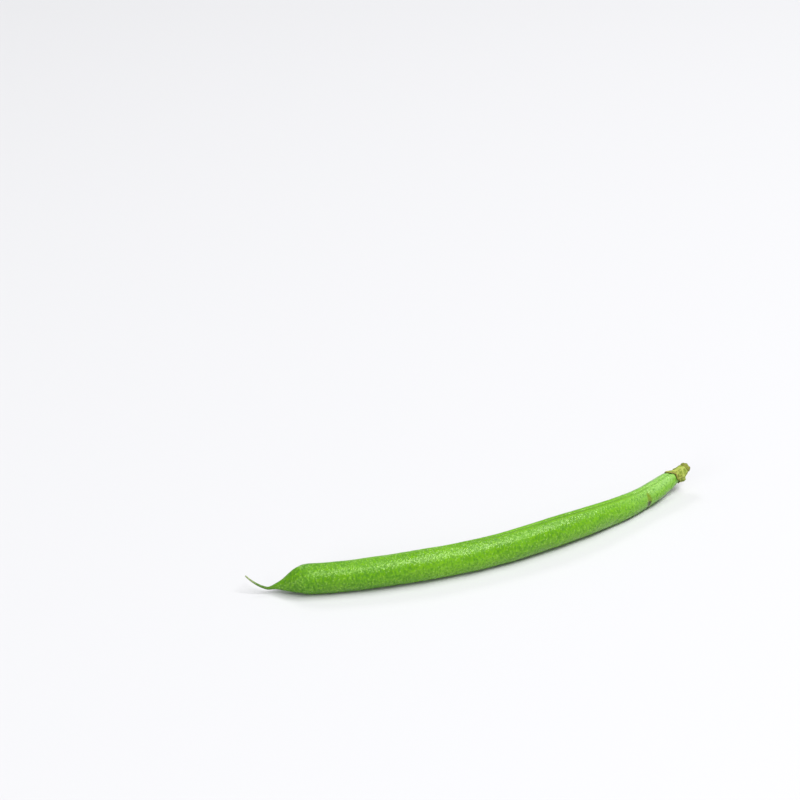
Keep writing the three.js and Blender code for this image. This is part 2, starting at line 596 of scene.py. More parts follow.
class Painter:
    """Paints one finish: a ground, then washes of colour where patterns or places say."""

    def __init__(self, name: str, ground: str) -> None:
        """Starts a material that is all over in one colour.

        Args:
            name: the material's name.
            ground: the colour's hex code.
        """
        self.material = bpy.data.materials.new(name)
        self.material.use_nodes = True
        self.tree = self.material.node_tree
        self.tree.nodes.clear()
        self.colour: object = linear(ground)

    def steps(
        self, size: Sequence[float], centre: Sequence[float] = (0, 0, 0)
    ) -> bpy.types.NodeSocket:
        """Counts the places on the straight piece from a centre, in steps.

        Args:
            size: the lengths of a step along X, Y and Z.
            centre: the place that counts as zero.

        Returns:
            The number of steps along each axis.
        """
        straight = add_node(self.tree, "ShaderNodeAttribute", attribute_name=STRAIGHT)
        sockets = {
            "Vector": straight.outputs["Vector"],
            "Location": [-middle / step for middle, step in zip(centre, size)],
            "Scale": [1 / step for step in size],
        }
        return add_node(self.tree, "ShaderNodeMapping", sockets).outputs["Vector"]

    def pattern(
        self, kind: Pattern, size: Sequence[float], **finer: float
    ) -> bpy.types.NodeSocket:
        """Lays a pattern on the straight piece.

        Args:
            kind: clouds, or cells round scattered points.
            size: its features' sizes along X, Y and Z.
            **finer: more of its sockets by name, such as Detail.

        Returns:
            The clouds' height or the distance from a cell's point, from 0 to about 1.
        """
        sockets = {"Vector": self.steps(size), "Scale": 1.0, **finer}
        return add_node(self.tree, kind.value, sockets).outputs[0]

    def mask(self, *fades: tuple[bpy.types.NodeSocket, Fade]) -> bpy.types.NodeSocket:
        """Finds the places where all of some fades are high.

        Args:
            *fades: pairs of a value and the fade that it runs through.

        Returns:
            The product of the faded values.
        """
        product = None
        for value, fade in fades:
            sockets = {0: value, 1: fade.start, 2: fade.stop, 3: fade.low, 4: fade.high}
            smoothed = add_node(
                self.tree, "ShaderNodeMapRange", sockets, interpolation_type="SMOOTHSTEP"
            )
            faded = smoothed.outputs[0]
            if product is not None:
                both = {0: product, 1: faded}
                faded = add_node(
                    self.tree, "ShaderNodeMath", both, operation="MULTIPLY"
                ).outputs[0]
            product = faded
        return product

    def wash(self, tint: str, *fades: tuple[bpy.types.NodeSocket, Fade]) -> None:
        """Lays a tint over the colour so far, where all of some fades are high.

        Args:
            tint: the tint's hex code.
            *fades: pairs of a value and the fade that it runs through.
        """
        sockets = {0: self.mask(*fades), 6: self.colour, 7: linear(tint)}
        mixed = add_node(self.tree, "ShaderNodeMix", sockets, data_type="RGBA")
        self.colour = mixed.outputs[2]

    def surface(
        self,
        sockets: dict[str, object],
        height: bpy.types.NodeSocket | None = None,
        depth: float = 0.0,
    ) -> bpy.types.Material:
        """Ends the tree in a Principled surface in the colour so far.

        Args:
            sockets: the surface's other inputs by name.
            height: the pattern that its fine relief follows, if it has one.
            depth: how far apart the pattern's 0 and 1 lie.

        Returns:
            The material.
        """
        inputs = {"Base Color": self.colour, **sockets}
        if height is not None:
            relief = {"Height": height, "Distance": depth, "Strength": 1.0}
            inputs["Normal"] = add_node(self.tree, "ShaderNodeBump", relief).outputs["Normal"]
        shader = add_node(self.tree, "ShaderNodeBsdfPrincipled", inputs)
        add_node(self.tree, "ShaderNodeOutputMaterial", {"Surface": shader.outputs["BSDF"]})
        return self.material


@dataclass(frozen=True)
class SkinGuides:
    """What the skin's washes follow: places on the straight pod, and patterns."""

    station: bpy.types.NodeSocket
    upward: bpy.types.NodeSocket
    aside: bpy.types.NodeSocket
    grain: bpy.types.NodeSocket
    cells: bpy.types.NodeSocket
    mottle: bpy.types.NodeSocket
    patch: bpy.types.NodeSocket


@dataclass(frozen=True)
class BeanSkin:
    """Fresh snap-bean skin: a thin wax over green flesh, so a soft gloss broken by its grain.

    The real grain is finer than the render shows, so it is drawn as coarse as it needs to be.
    """

    deep: str = "#347000"
    middle: str = "#529203"
    light: str = "#7bb41e"
    pale: str = "#b2db6e"
    near_stalk: str = "#79b832"
    # Painted highlight on the upper side of the neck, with painted glints in it
    neck_painted_highlight: str = "#c9ecb0"
    tail_olive: str = "#486b1a"
    tail_tip: str = "#8c9a68"
    # The seam's own darker line, deepened with painted shade in its groove
    seam_line_and_shade: str = "#4b7d10"
    scar_brown: str = "#333d08"
    scar_dry: str = "#6f8412"
    shine: str = "#f2ffd8"
    grain_size: tuple[float, float, float] = (0.52 * MM, 0.8 * MM, 0.8 * MM)
    fleck_spacing: tuple[float, float, float] = (1 * MM, 1 * MM, 1 * MM)
    mottle_size: tuple[float, float, float] = (9 * MM, 9 * MM, 9 * MM)
    patch_size: tuple[float, float, float] = (16 * MM, 8 * MM, 8 * MM)
    detail: float = 3
    # Where the colours lie in the patterns, whose values run from 0 to 1
    not_mottled: Fade = Fade(0.25, 0.65, 0.3, 1)
    lighter_patch: Fade = Fade(0.4, 0.7, 0, 0.35)
    high_grain: Fade = Fade(0.44, 0.72, 0, 0.6)
    low_grain: Fade = Fade(0.56, 0.28, 0, 0.6)
    fleck: Fade = Fade(0.34, 0.12, 0, 0.24)
    # Where the grain breaks the neck's painted highlight into painted glints
    painted_glints: Fade = Fade(0.36, 0.6, 0.5, 1.15)
    # Where they lie along the pod
    dark_beak: Fade = Fade(45 * MM, 10 * MM, 0, 0.5)
    past_beak: Fade = Fade(0, 60 * MM, 0, 0.3)
    stalk_half: Fade = Fade(90 * MM, 146.5 * MM, 0, 0.6)
    # Where the painted highlight lies along the pod
    neck: Fade = Fade(112 * MM, 142 * MM, 0, 0.36)
    seam_in_shade: Fade = Fade(95 * MM, 130 * MM, 0.7, 0.15)
    tail: Fade = Fade(4 * MM, -1 * MM, 0, 0.85)
    withered_tail: Fade = Fade(-2.5 * MM, -6 * MM)
    # Where they lie round it
    # The band of the neck's painted highlight, on its upper side
    painted_highlight_side: Fade = Fade(1.1 * MM, 2.7 * MM)
    top_half: Fade = Fade(0, 0.5 * MM)
    in_seam: Fade = Fade(0.45 * MM, 0.12 * MM)
    # A painted highlight along the seam's shoulders, at the top of the pod
    shoulder_painted_highlight: Fade = Fade(1.9 * MM, 1.0 * MM, 0, 0.22)
    # The scar, in half widths from its middle
    scar_fray: float = 0.9
    scar: Fade = Fade(1.7, 1.2, 0, 0.8)
    scar_core: Fade = Fade(1.5, 1.1)
    scar_core_side: Fade = Fade(0.8 * MM, 0.2 * MM)
    # The relief, in which the flecks and the mottle stand higher or lower than the grain
    grain_depth: float = 0.2 * MM
    fleck_relief: Fade = Fade(0.34, 0.12, 0, 0.2)
    mottle_relief: float = 2.2
    # The wax is thinner, and so rougher, between the grains and in some places
    thin_wax: Fade = Fade(0.56, 0.42, 0, 0.35)
    waxy_places: Fade = Fade(0.38, 0.6, 0.08, 0.24)

    def guides(self, paint: Painter) -> SkinGuides:
        """Lays the patterns and places that the washes follow.

        Args:
            paint: the skin's painter.

        Returns:
            The guides.
        """
        straight = add_node(paint.tree, "ShaderNodeAttribute", attribute_name=STRAIGHT)
        axes = add_node(paint.tree, "ShaderNodeSeparateXYZ", {0: straight.outputs["Vector"]})
        aside = add_node(
            paint.tree, "ShaderNodeMath", {0: axes.outputs["Y"]}, operation="ABSOLUTE"
        )
        return SkinGuides(
            station=axes.outputs["X"],
            upward=axes.outputs["Z"],
            aside=aside.outputs[0],
            grain=paint.pattern(Pattern.CLOUDS, self.grain_size, Detail=self.detail),
            cells=paint.pattern(Pattern.CELLS, self.fleck_spacing),
            mottle=paint.pattern(Pattern.CLOUDS, self.mottle_size, Detail=self.detail),
            patch=paint.pattern(Pattern.CLOUDS, self.patch_size),
        )

    def paint_flesh(self, paint: Painter, on: SkinGuides) -> None:
        """Washes the pod's greens and its neck's painted highlight, from the broadest to the
        finest.

        Args:
            paint: the skin's painter.
            on: what the washes follow.
        """
        paint.wash(self.middle, (on.mottle, self.not_mottled))
        paint.wash(self.deep, (on.station, self.dark_beak))
        paint.wash(self.light, (on.station, self.past_beak))
        paint.wash(self.light, (on.patch, self.lighter_patch))
        paint.wash(self.near_stalk, (on.station, self.stalk_half))
        # Painted highlight: a pale band on the upper side of the neck, broken into painted
        # glints by the grain.
        paint.wash(
            self.neck_painted_highlight,
            (on.station, self.neck),
            (on.upward, self.painted_highlight_side),
            (on.grain, self.painted_glints),
        )
        paint.wash(self.light, (on.grain, self.high_grain))
        paint.wash(self.deep, (on.grain, self.low_grain))
        paint.wash(self.pale, (on.cells, self.fleck))

    def paint_seam_and_tail(self, paint: Painter, on: SkinGuides) -> None:
        """Paints the seam's line, its shade and its shoulders' highlight, and withers the tail.

        Args:
            paint: the skin's painter.
            on: what the washes follow.
        """
        # A painted highlight along the seam's shoulders, where the top of the pod catches the
        # light.
        paint.wash(self.light, (on.upward, self.top_half), (on.aside, self.shoulder_painted_highlight))
        # The seam's own darker line with painted shade in its groove, weaker towards the lit
        # stalk end.
        paint.wash(
            self.seam_line_and_shade,
            (on.upward, self.top_half),
            (on.aside, self.in_seam),
            (on.station, self.seam_in_shade),
        )
        paint.wash(self.tail_olive, (on.station, self.tail))
        paint.wash(self.tail_tip, (on.station, self.withered_tail))

    def paint_scar(self, paint: Painter, on: SkinGuides, pod: Pod) -> None:
        """Dries the skin round the scar, and browns its lower end.

        Args:
            paint: the skin's painter.
            on: what the washes follow.
            pod: the pod, which has the scar's place and size.
        """
        offset = paint.steps(pod.scar_size, pod.scar_place())
        away = add_node(paint.tree, "ShaderNodeVectorMath", {0: offset}, operation="LENGTH")
        frayed = {0: on.grain, 1: self.scar_fray, 2: away.outputs["Value"]}
        edge = add_node(paint.tree, "ShaderNodeMath", frayed, operation="MULTIPLY_ADD")
        past_edge = edge.outputs[0]
        paint.wash(self.scar_dry, (past_edge, self.scar))
        paint.wash(
            self.scar_brown, (past_edge, self.scar_core), (on.upward, self.scar_core_side)
        )

    def relief(self, paint: Painter, on: SkinGuides) -> bpy.types.NodeSocket:
        """Builds the skin's fine relief: its grain, the flecks on it and the mottle under it.

        Args:
            paint: the skin's painter.
            on: the patterns.

        Returns:
            The height, in units of the grain's depth.
        """
        flecked = {0: paint.mask((on.cells, self.fleck_relief)), 1: on.grain}
        grain = add_node(paint.tree, "ShaderNodeMath", flecked, operation="ADD")
        mottled = {0: on.mottle, 1: self.mottle_relief, 2: grain.outputs[0]}
        return add_node(
            paint.tree, "ShaderNodeMath", mottled, operation="MULTIPLY_ADD"
        ).outputs[0]

    def gloss(self, paint: Painter, on: SkinGuides) -> bpy.types.NodeSocket:
        """Builds the skin's roughness, which is least where the wax is thick.

        Args:
            paint: the skin's painter.
            on: the patterns.

        Returns:
            The roughness.
        """
        wax = {
            0: paint.mask((on.grain, self.thin_wax)),
            1: paint.mask((on.mottle, self.waxy_places)),
        }
        return add_node(paint.tree, "ShaderNodeMath", wax, operation="ADD").outputs[0]

    def material(self, pod: Pod) -> bpy.types.Material:
        """Makes the skin's material.

        Args:
            pod: the pod, which has the scar's place and size.

        Returns:
            The material.
        """
        paint = Painter("fresh_bean_skin", self.deep)
        on = self.guides(paint)
        self.paint_flesh(paint, on)
        self.paint_seam_and_tail(paint, on)
        self.paint_scar(paint, on, pod)
        sockets = {
            "Roughness": self.gloss(paint, on),
            "IOR": 1.46,
            "Specular Tint": linear(self.shine),
            "Subsurface Weight": 0.08,
            "Subsurface Radius": (0.5, 1.0, 0.1),
            "Subsurface Scale": 1.2 * MM,
        }
        return paint.surface(sockets, self.relief(paint, on), self.grain_depth)


@dataclass(frozen=True)
class DrySepal:
    """Dried calyx: thin papery tissue, matt, veined and brown where it has withered."""

    paper: str = "#a8b452"
    green: str = "#73891f"
    vein: str = "#66700f"
    edge: str = "#867c34"
    vein_size: tuple[float, float, float] = (5 * MM, 0.75 * MM, 0.75 * MM)
    blotch_size: tuple[float, float, float] = (1.6 * MM, 1.6 * MM, 1.6 * MM)
    detail: float = 3
    dried: Fade = Fade(0.32, 0.66)
    veined: Fade = Fade(0.5, 0.4, 0, 0.9)
    at_rim: Fade = Fade(0.84, 0.98)
    browned: Fade = Fade(0.25, 0.5)
    crease_depth: float = 0.09 * MM

    def material(self) -> bpy.types.Material:
        """Makes the calyx's material.

        Returns:
            The material.
        """
        paint = Painter("dried_sepal", self.green)
        rim = add_node(paint.tree, "ShaderNodeAttribute", attribute_name=RIM).outputs["Fac"]
        veins = paint.pattern(Pattern.CLOUDS, self.vein_size, Detail=self.detail)
        blotch = paint.pattern(Pattern.CLOUDS, self.blotch_size, Detail=self.detail)
        paint.wash(self.paper, (blotch, self.dried))
        paint.wash(self.vein, (veins, self.veined))
        paint.wash(self.edge, (rim, self.at_rim), (blotch, self.browned))
        sockets = {
            "Roughness": 0.72,
            "IOR": 1.45,
            "Subsurface Weight": 0.12,
            "Subsurface Radius": (1.0, 0.9, 0.3),
            "Subsurface Scale": 0.4 * MM,
        }
        return paint.surface(sockets, veins, self.crease_depth)


@dataclass(frozen=True)
class DryStalk:
    """Snapped flower stalk: dry green bark over fibres, brown and stringy at the break."""

    bark: str = "#7f9426"
    straw: str = "#aab24c"
    brown: str = "#6a661c"
    pith: str = "#9ca048"
    fibre_size: tuple[float, float, float] = (2.5 * MM, 0.18 * MM, 0.18 * MM)
    blotch_size: tuple[float, float, float] = (1.1 * MM, 1.1 * MM, 1.1 * MM)
    detail: float = 3
    dried: Fade = Fade(0.35, 0.65)
    between_fibres: Fade = Fade(0.5, 0.35, 0, 0.7)
    at_rim: Fade = Fade(0.84, 0.98, 0, 0.85)
    inside: Fade = Fade(1.2, 1.8, 0, 0.8)
    fibre_depth: float = 0.07 * MM

    def material(self) -> bpy.types.Material:
        """Makes the stalk's material.

        Returns:
            The material.
        """
        paint = Painter("dried_stalk", self.bark)
        rim = add_node(paint.tree, "ShaderNodeAttribute", attribute_name=RIM).outputs["Fac"]
        fibres = paint.pattern(Pattern.CLOUDS, self.fibre_size, Detail=self.detail)
        blotch = paint.pattern(Pattern.CLOUDS, self.blotch_size, Detail=self.detail)
        paint.wash(self.straw, (blotch, self.dried))
        paint.wash(self.brown, (fibres, self.between_fibres))
        paint.wash(self.brown, (rim, self.at_rim))
        paint.wash(self.pith, (rim, self.inside))
        return paint.surface({"Roughness": 0.8, "IOR": 1.45}, fibres, self.fibre_depth)


# The pieces


@dataclass
class Pod:
    """The grown pod with its beak and its hooked tail, in one piece."""

    spine: Spine
    height: float = 9.15 * MM
    width: float = 8.6 * MM
    tip_radius: float = 0.45 * MM
    tail_end_radius: float = 0.22 * MM
    beak_length: float = 12 * MM
    slim_before: float = 60 * MM
    slim_share: float = 0.05
    neck_length: float = 60 * MM
    neck_share: float = 0.6
    neck_power: float = 1.5
    end_length: float = 8 * MM
    end_share: float = 0.52
    seam_depth: float = 0.34 * MM
    seam_half_width: float = 0.42 * MM
    shoulder_height: float = 0.13 * MM
    shoulder_at: float = 1.35 * MM
    shoulder_half_width: float = 0.75 * MM
    back_ridge_height: float = 0.14 * MM
    back_ridge_half_width: float = 0.5 * MM
    seed_swelling: float = 0.2 * MM
    seed_half_length: float = 4.2 * MM
    seeds: tuple[float, ...] = tuple(spaced(17 * MM, 134 * MM, 8))
    scar_station: float = 128.2 * MM
    scar_turn: float = 80
    scar_size: tuple[float, float, float] = (1.0 * MM, 2.8 * MM, 2.8 * MM)
    scar_depth: float = 0.16 * MM
    scar_spread: float = 0.8
    sides: int = 36
    tail_rings: int = 9
    beak_rings: int = 12
    body_rings: int = 84
    dent_grain: float = 7 * MM
    dent_height: float = 0.2 * MM
    pebble_grain: float = 1.1 * MM
    pebble_height: float = 0.035 * MM
    sharp_past: float = 70
    piece: bpy.types.Object | None = field(default=None, init=False)

    def thickness(self, station: float) -> float:
        """Finds how thick the pod is at a station.

        Args:
            station: the distance along the spine from the pod's tip.

        Returns:
            The share of its full thickness.
        """
        tip_share = 2 * self.tip_radius / self.height
        beak = tip_share + (1 - tip_share) * smooth(station / self.beak_length)
        slim = 1 - self.slim_share * clamp(1 - station / self.slim_before) ** 2
        from_stalk = self.spine.pod_length - station
        taper = (1 - clamp(from_stalk / self.neck_length)) ** self.neck_power
        neck = 1 - (1 - self.neck_share) * taper
        rounding = 1 - self.end_share * clamp(1 - from_stalk / self.end_length) ** 2
        return min(beak, neck) * slim * rounding

    def radius(self, station: float) -> float:
        """Finds the pod's or the tail's radius.

        Args:
            station: the distance along the spine, below 0 on the tail.

        Returns:
            Half the distance between the seams.
        """
        if station >= 0:
            return self.thickness(station) * self.height / 2
        along = -station / self.spine.tail_length
        return self.radius(0) + (self.tail_end_radius - self.radius(0)) * along

    def scar_place(self) -> Vector:
        """Finds the middle of the dry scar.

        Returns:
            Its place on the straight pod.
        """
        turn = math.radians(self.scar_turn)
        out = self.thickness(self.scar_station) * self.width / 2
        return Vector((self.scar_station, -out * math.sin(turn), out * math.cos(turn)))

    def on_pod(self, place: Vector) -> float:
        """Returns the share of the full thickness at a place, which forms shrink with."""
        return self.thickness(place.x) if place.x > 0 else 0.0

    def build(self) -> None:
        """Models the straight pod from its rings, then its seams and swellings."""
        stations = spaced(-self.spine.tail_length, 0, self.tail_rings)
        stations += spaced(0, self.beak_length, self.beak_rings)[1:]
        stations += spaced(self.beak_length, self.spine.pod_length, self.body_rings)[1:]
        rings = [Ring(station, self.radius(station)) for station in stations]
        self.piece = start_ring("bean_pod", rings[0], self.sides, True)
        with editing(self.piece):
            select_open_ring()
            grow(rings)
            close_end()
            face_outwards()
            valves = self.width / self.height
            bpy.ops.transform.resize(value=(1, valves, 1), center_override=(0, 0, 0))
        subdivide(self.piece, 2)
        self.shape_seams()
        self.shape_skin()
        keep_straight_place(self.piece)

    def shape_seams(self) -> None:
        """Sinks the upper seam between its shoulders and raises the lower seam's ridge."""

        def near_upper(place: Vector, middle: float, half_width: float) -> float:
            """Returns the weight of a form that runs along the upper seam."""
            from_seam = abs(turn_of(place)) * self.height / 2
            return self.on_pod(place) * bump(from_seam - middle, half_width)

        def near_lower(place: Vector) -> float:
            """Returns the weight of the lower seam's ridge."""
            from_seam = (math.pi - abs(turn_of(place))) * self.height / 2
            return self.on_pod(place) * bump(from_seam, self.back_ridge_half_width)

        def shoulder(place: Vector) -> float:
            """Returns the weight of the seam's shoulders."""
            return near_upper(place, self.shoulder_at, self.shoulder_half_width)

        def groove(place: Vector) -> float:
            """Returns the weight of the seam's groove."""
            return near_upper(place, 0, self.seam_half_width)

        raise_skin(self.piece, "shoulders", self.shoulder_height, shoulder)
        raise_skin(self.piece, "upper_seam", -self.seam_depth, groove)
        raise_skin(self.piece, "lower_seam", self.back_ridge_height, near_lower)

    def shape_skin(self) -> None:
        """Swells the valves over the seeds, sinks the scar and makes the skin uneven."""

        def over_seed(place: Vector) -> float:
            """Returns the weight of the swellings over the seeds."""
            swelling = sum(bump(place.x - seed, self.seed_half_length) for seed in self.seeds)
            return self.on_pod(place) * swelling * math.sin(turn_of(place)) ** 2

        scar = self.scar_place()

        def in_scar(place: Vector) -> float:
            """Finds the weight of the scar's hollow.

            Args:
                place: a place on the straight pod.

            Returns:
                The weight, which is greatest in the hollow's middle.
            """
            away = (place - scar) / self.scar_size[1]
            away.x *= self.scar_size[1] / self.scar_size[0]
            return bump(away.length, self.scar_spread)

        raise_skin(self.piece, "seed_swellings", self.seed_swelling, over_seed)
        raise_skin(self.piece, "scar", -self.scar_depth, in_scar)
        fleshy = weigh(self.piece, "fleshy", self.on_pod)
        roughen(self.piece, "dents", self.dent_grain, self.dent_height, fleshy)
        roughen(self.piece, "pebbles", self.pebble_grain, self.pebble_height, fleshy)

    def dress(self) -> None:
        """Gives the pod its skin and puts it in its solid's place."""
        smooth_shade(self.piece, self.sharp_past)
        self.piece.data.materials.append(BeanSkin().material(self))
        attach(self.piece, "root")
        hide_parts("pod")


@dataclass(frozen=True)
class Lobe:
    """One lobe of the calyx."""

    turn: float
    length: float
    half_width: float


@dataclass
class Calyx:
    """The dried cup of five lobes that hugs the pod's end."""

    pod: Pod
    gap: float = 0.3 * MM
    paper: float = 0.2 * MM
    stand_off: float = 0.22 * MM
    neck_length: float = 1.8 * MM
    neck_radius: float = 1.92 * MM
    neck_bulge: float = 0.04 * MM
    neck_bulge_at: float = 0.4
    lip_radius: float = 1.44 * MM
    lip_depth: float = 0.24 * MM
    lip_rounding: float = 0.2
    shoulder_radius: float = 2.1 * MM
    first_wall: float = 1 * MM
    cup_length: float = 1 * MM
    slant: float = 3.6 * MM
    slant_turn: float = -20
    lobes: tuple[Lobe, ...] = (
        Lobe(-20, 1.8 * MM, 42),
        Lobe(62, 1.3 * MM, 36),
        Lobe(132, 0.9 * MM, 34),
        Lobe(200, 1.1 * MM, 34),
        Lobe(270, 1.5 * MM, 36),
    )
    lobe_sharpness: float = 1.3
    crease_count: int = 11
    crease_height: float = 0.16 * MM
    crease_swing: float = 1.4
    crease_swings: int = 3
    curl: float = 0.2 * MM
    curl_from: float = 0.7
    crumple_grain: float = 0.9 * MM
    crumple_height: float = 0.12 * MM
    sides: int = 60
    wall_rings: int = 9
    sharp_past: float = 50
    piece: bpy.types.Object | None = field(default=None, init=False)

    def reach(self, turn: float) -> float:
        """Finds how far the calyx reaches over the pod in one direction.

        Args:
            turn: the direction from the upper seam, in radians.

        Returns:
            The distance from the neck's foot to the edge there.
        """
        slant = (1 + math.cos(turn - math.radians(self.slant_turn))) / 2
        reach = self.cup_length + self.slant * slant
        for lobe in self.lobes:
            off = abs((math.degrees(turn) - lobe.turn + 180) % 360 - 180)
            reach += lobe.length * clamp(1 - off / lobe.half_width) ** self.lobe_sharpness
        return reach

    @property
    def mouth(self) -> float:
        """The station where the cup's neck ends and its wall begins."""
        return self.pod.spine.pod_length + self.gap

    @property
    def end(self) -> float:
        """The station of the neck's open end."""
        return self.mouth + self.neck_length

    def up_the_wall(self, place: Vector) -> float:
        """Returns how far up the wall a place is, before the lobes are drawn out."""
        return clamp((self.mouth - place.x) / self.first_wall)

    def build(self) -> None:
        """Models the cup on the straight pod, then its lobes, its creases and its paper."""
        self.grow_cup()
        self.draw_out_lobes()
        self.hug_pod()
        self.crease()
        keep_straight_place(self.piece)
        apply_modifier(self.piece, "SOLIDIFY", thickness=self.paper, offset=-1)
        subdivide(self.piece, 1)
        roughen(self.piece, "crumple", self.crumple_grain, self.crumple_height)

    def grow_cup(self) -> None:
        """Grows the cup from its lip over its neck to a short wall."""
        wide = self.pod.radius(self.mouth - self.reach(0)) + 2 * self.stand_off
        lip_middle = (self.lip_radius + self.neck_radius) / 2
        bulge = self.mouth + self.neck_bulge_at * self.neck_length
        rings = [
            Ring(self.end - self.lip_depth, self.lip_radius),
            Ring(self.end - self.lip_rounding * self.lip_depth, lip_middle),
            Ring(self.end, self.neck_radius),
            Ring(self.end - self.lip_depth, self.neck_radius),
            Ring(bulge, self.neck_radius + self.neck_bulge),
            Ring(self.mouth, self.shoulder_radius),
        ]
        wall = spaced(self.mouth, self.mouth - self.first_wall, self.wall_rings)
        rings += [Ring(station, wide) for station in wall[1:]]
        self.piece = start_ring("dried_calyx", rings[0], self.sides, False)
        with editing(self.piece):
            bpy.ops.mesh.select_mode(type="EDGE")
            bpy.ops.mesh.select_all(action="SELECT")
            grow(rings)
            face_outwards()
        mark_rim(self.piece, self.up_the_wall)

    def draw_out_lobes(self) -> None:
        """Draws the wall out to the calyx's reach in each direction."""
        longest = max(self.reach(math.radians(turn)) for turn in range(360))

        def draw_out(place: Vector) -> float:
            """Returns how far a place is drawn out, as a share of the longest reach."""
            reach = self.reach(turn_of(place)) - self.first_wall
            return self.up_the_wall(place) * reach / longest

        raise_skin(self.piece, "lobes", -longest, draw_out, Push.ALONG)

    def hug_pod(self) -> None:
        """Lays the wall and its lobes on the pod's skin."""
        apply_modifier(
            self.piece,
            "SHRINKWRAP",
            target=self.pod.piece,
            wrap_method="NEAREST_SURFACEPOINT",
            wrap_mode="OUTSIDE_SURFACE",
            offset=self.stand_off,
            vertex_group=weigh(
                self.piece, "on_pod", lambda place: smooth(self.up_the_wall(place))
            ),
        )

    def crease(self) -> None:
        """Raises the creases that run from the neck, and curls the lobes' tips off the pod."""

        def crest(place: Vector) -> float:
            """Finds how high the creases stand at a place.

            Args:
                place: a place on the straight calyx.

            Returns:
                The share of their height, which grows from 0 at the neck's end.
            """
            turn = turn_of(place)
            swing = self.crease_swing * math.sin(self.crease_swings * turn)
            wave = math.cos(self.crease_count * turn + swing)
            return ((1 + wave) / 2) ** 2 * smooth((self.end - place.x) / self.neck_length)

        def tip(place: Vector) -> float:
            """Returns how far a place is in the curled tip of a lobe."""
            over = (self.mouth - place.x) / self.reach(turn_of(place))
            return smooth(over, self.curl_from)

        raise_skin(self.piece, "creases", self.crease_height, crest)
        raise_skin(self.piece, "curl", self.curl, tip)

    def dress(self) -> None:
        """Gives the calyx its papery finish and puts it in its solid's place."""
        smooth_shade(self.piece, self.sharp_past)
        self.piece.data.materials.append(DrySepal().material())
        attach(self.piece, "root")
        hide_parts("calyx")


@dataclass(frozen=True)
class Splinter:
    """A stringy fibre at the break, and the ranges in which its copies differ."""

    count: int = 11
    length: float = 0.55 * MM
    radius: float = 0.09 * MM
    tip_share: float = 0.2
    sides: int = 6
    seed: int = 7
    astray: tuple[float, float] = (-0.35, 0.35)
    on_rim: tuple[float, float] = (0.84, 0.95)
    rise: tuple[float, float] = (0.1 * MM, 0.3 * MM)
    lean: tuple[float, float] = (-0.3, 0.3)
    stretch: tuple[float, float] = (0.7, 1.3)
    widen: tuple[float, float] = (0.8, 1.8)
    rim_mark: float = 0.9

    def model(self) -> bpy.types.Object:
        """Makes the one splinter that the others are copies of.

        Returns:
            The splinter, in the middle and along X.
        """
        bpy.ops.object.select_all(action="DESELECT")
        bpy.ops.mesh.primitive_cone_add(
            vertices=self.sides,
            radius1=self.radius,
            radius2=self.tip_share * self.radius,
            depth=self.length,
            location=(0, 0, 0),
            rotation=(0, math.pi / 2, 0),
        )
        model = bpy.context.active_object
        model.name = "splinter"
        bpy.ops.object.transform_apply(location=True, rotation=True, scale=True)
        return model


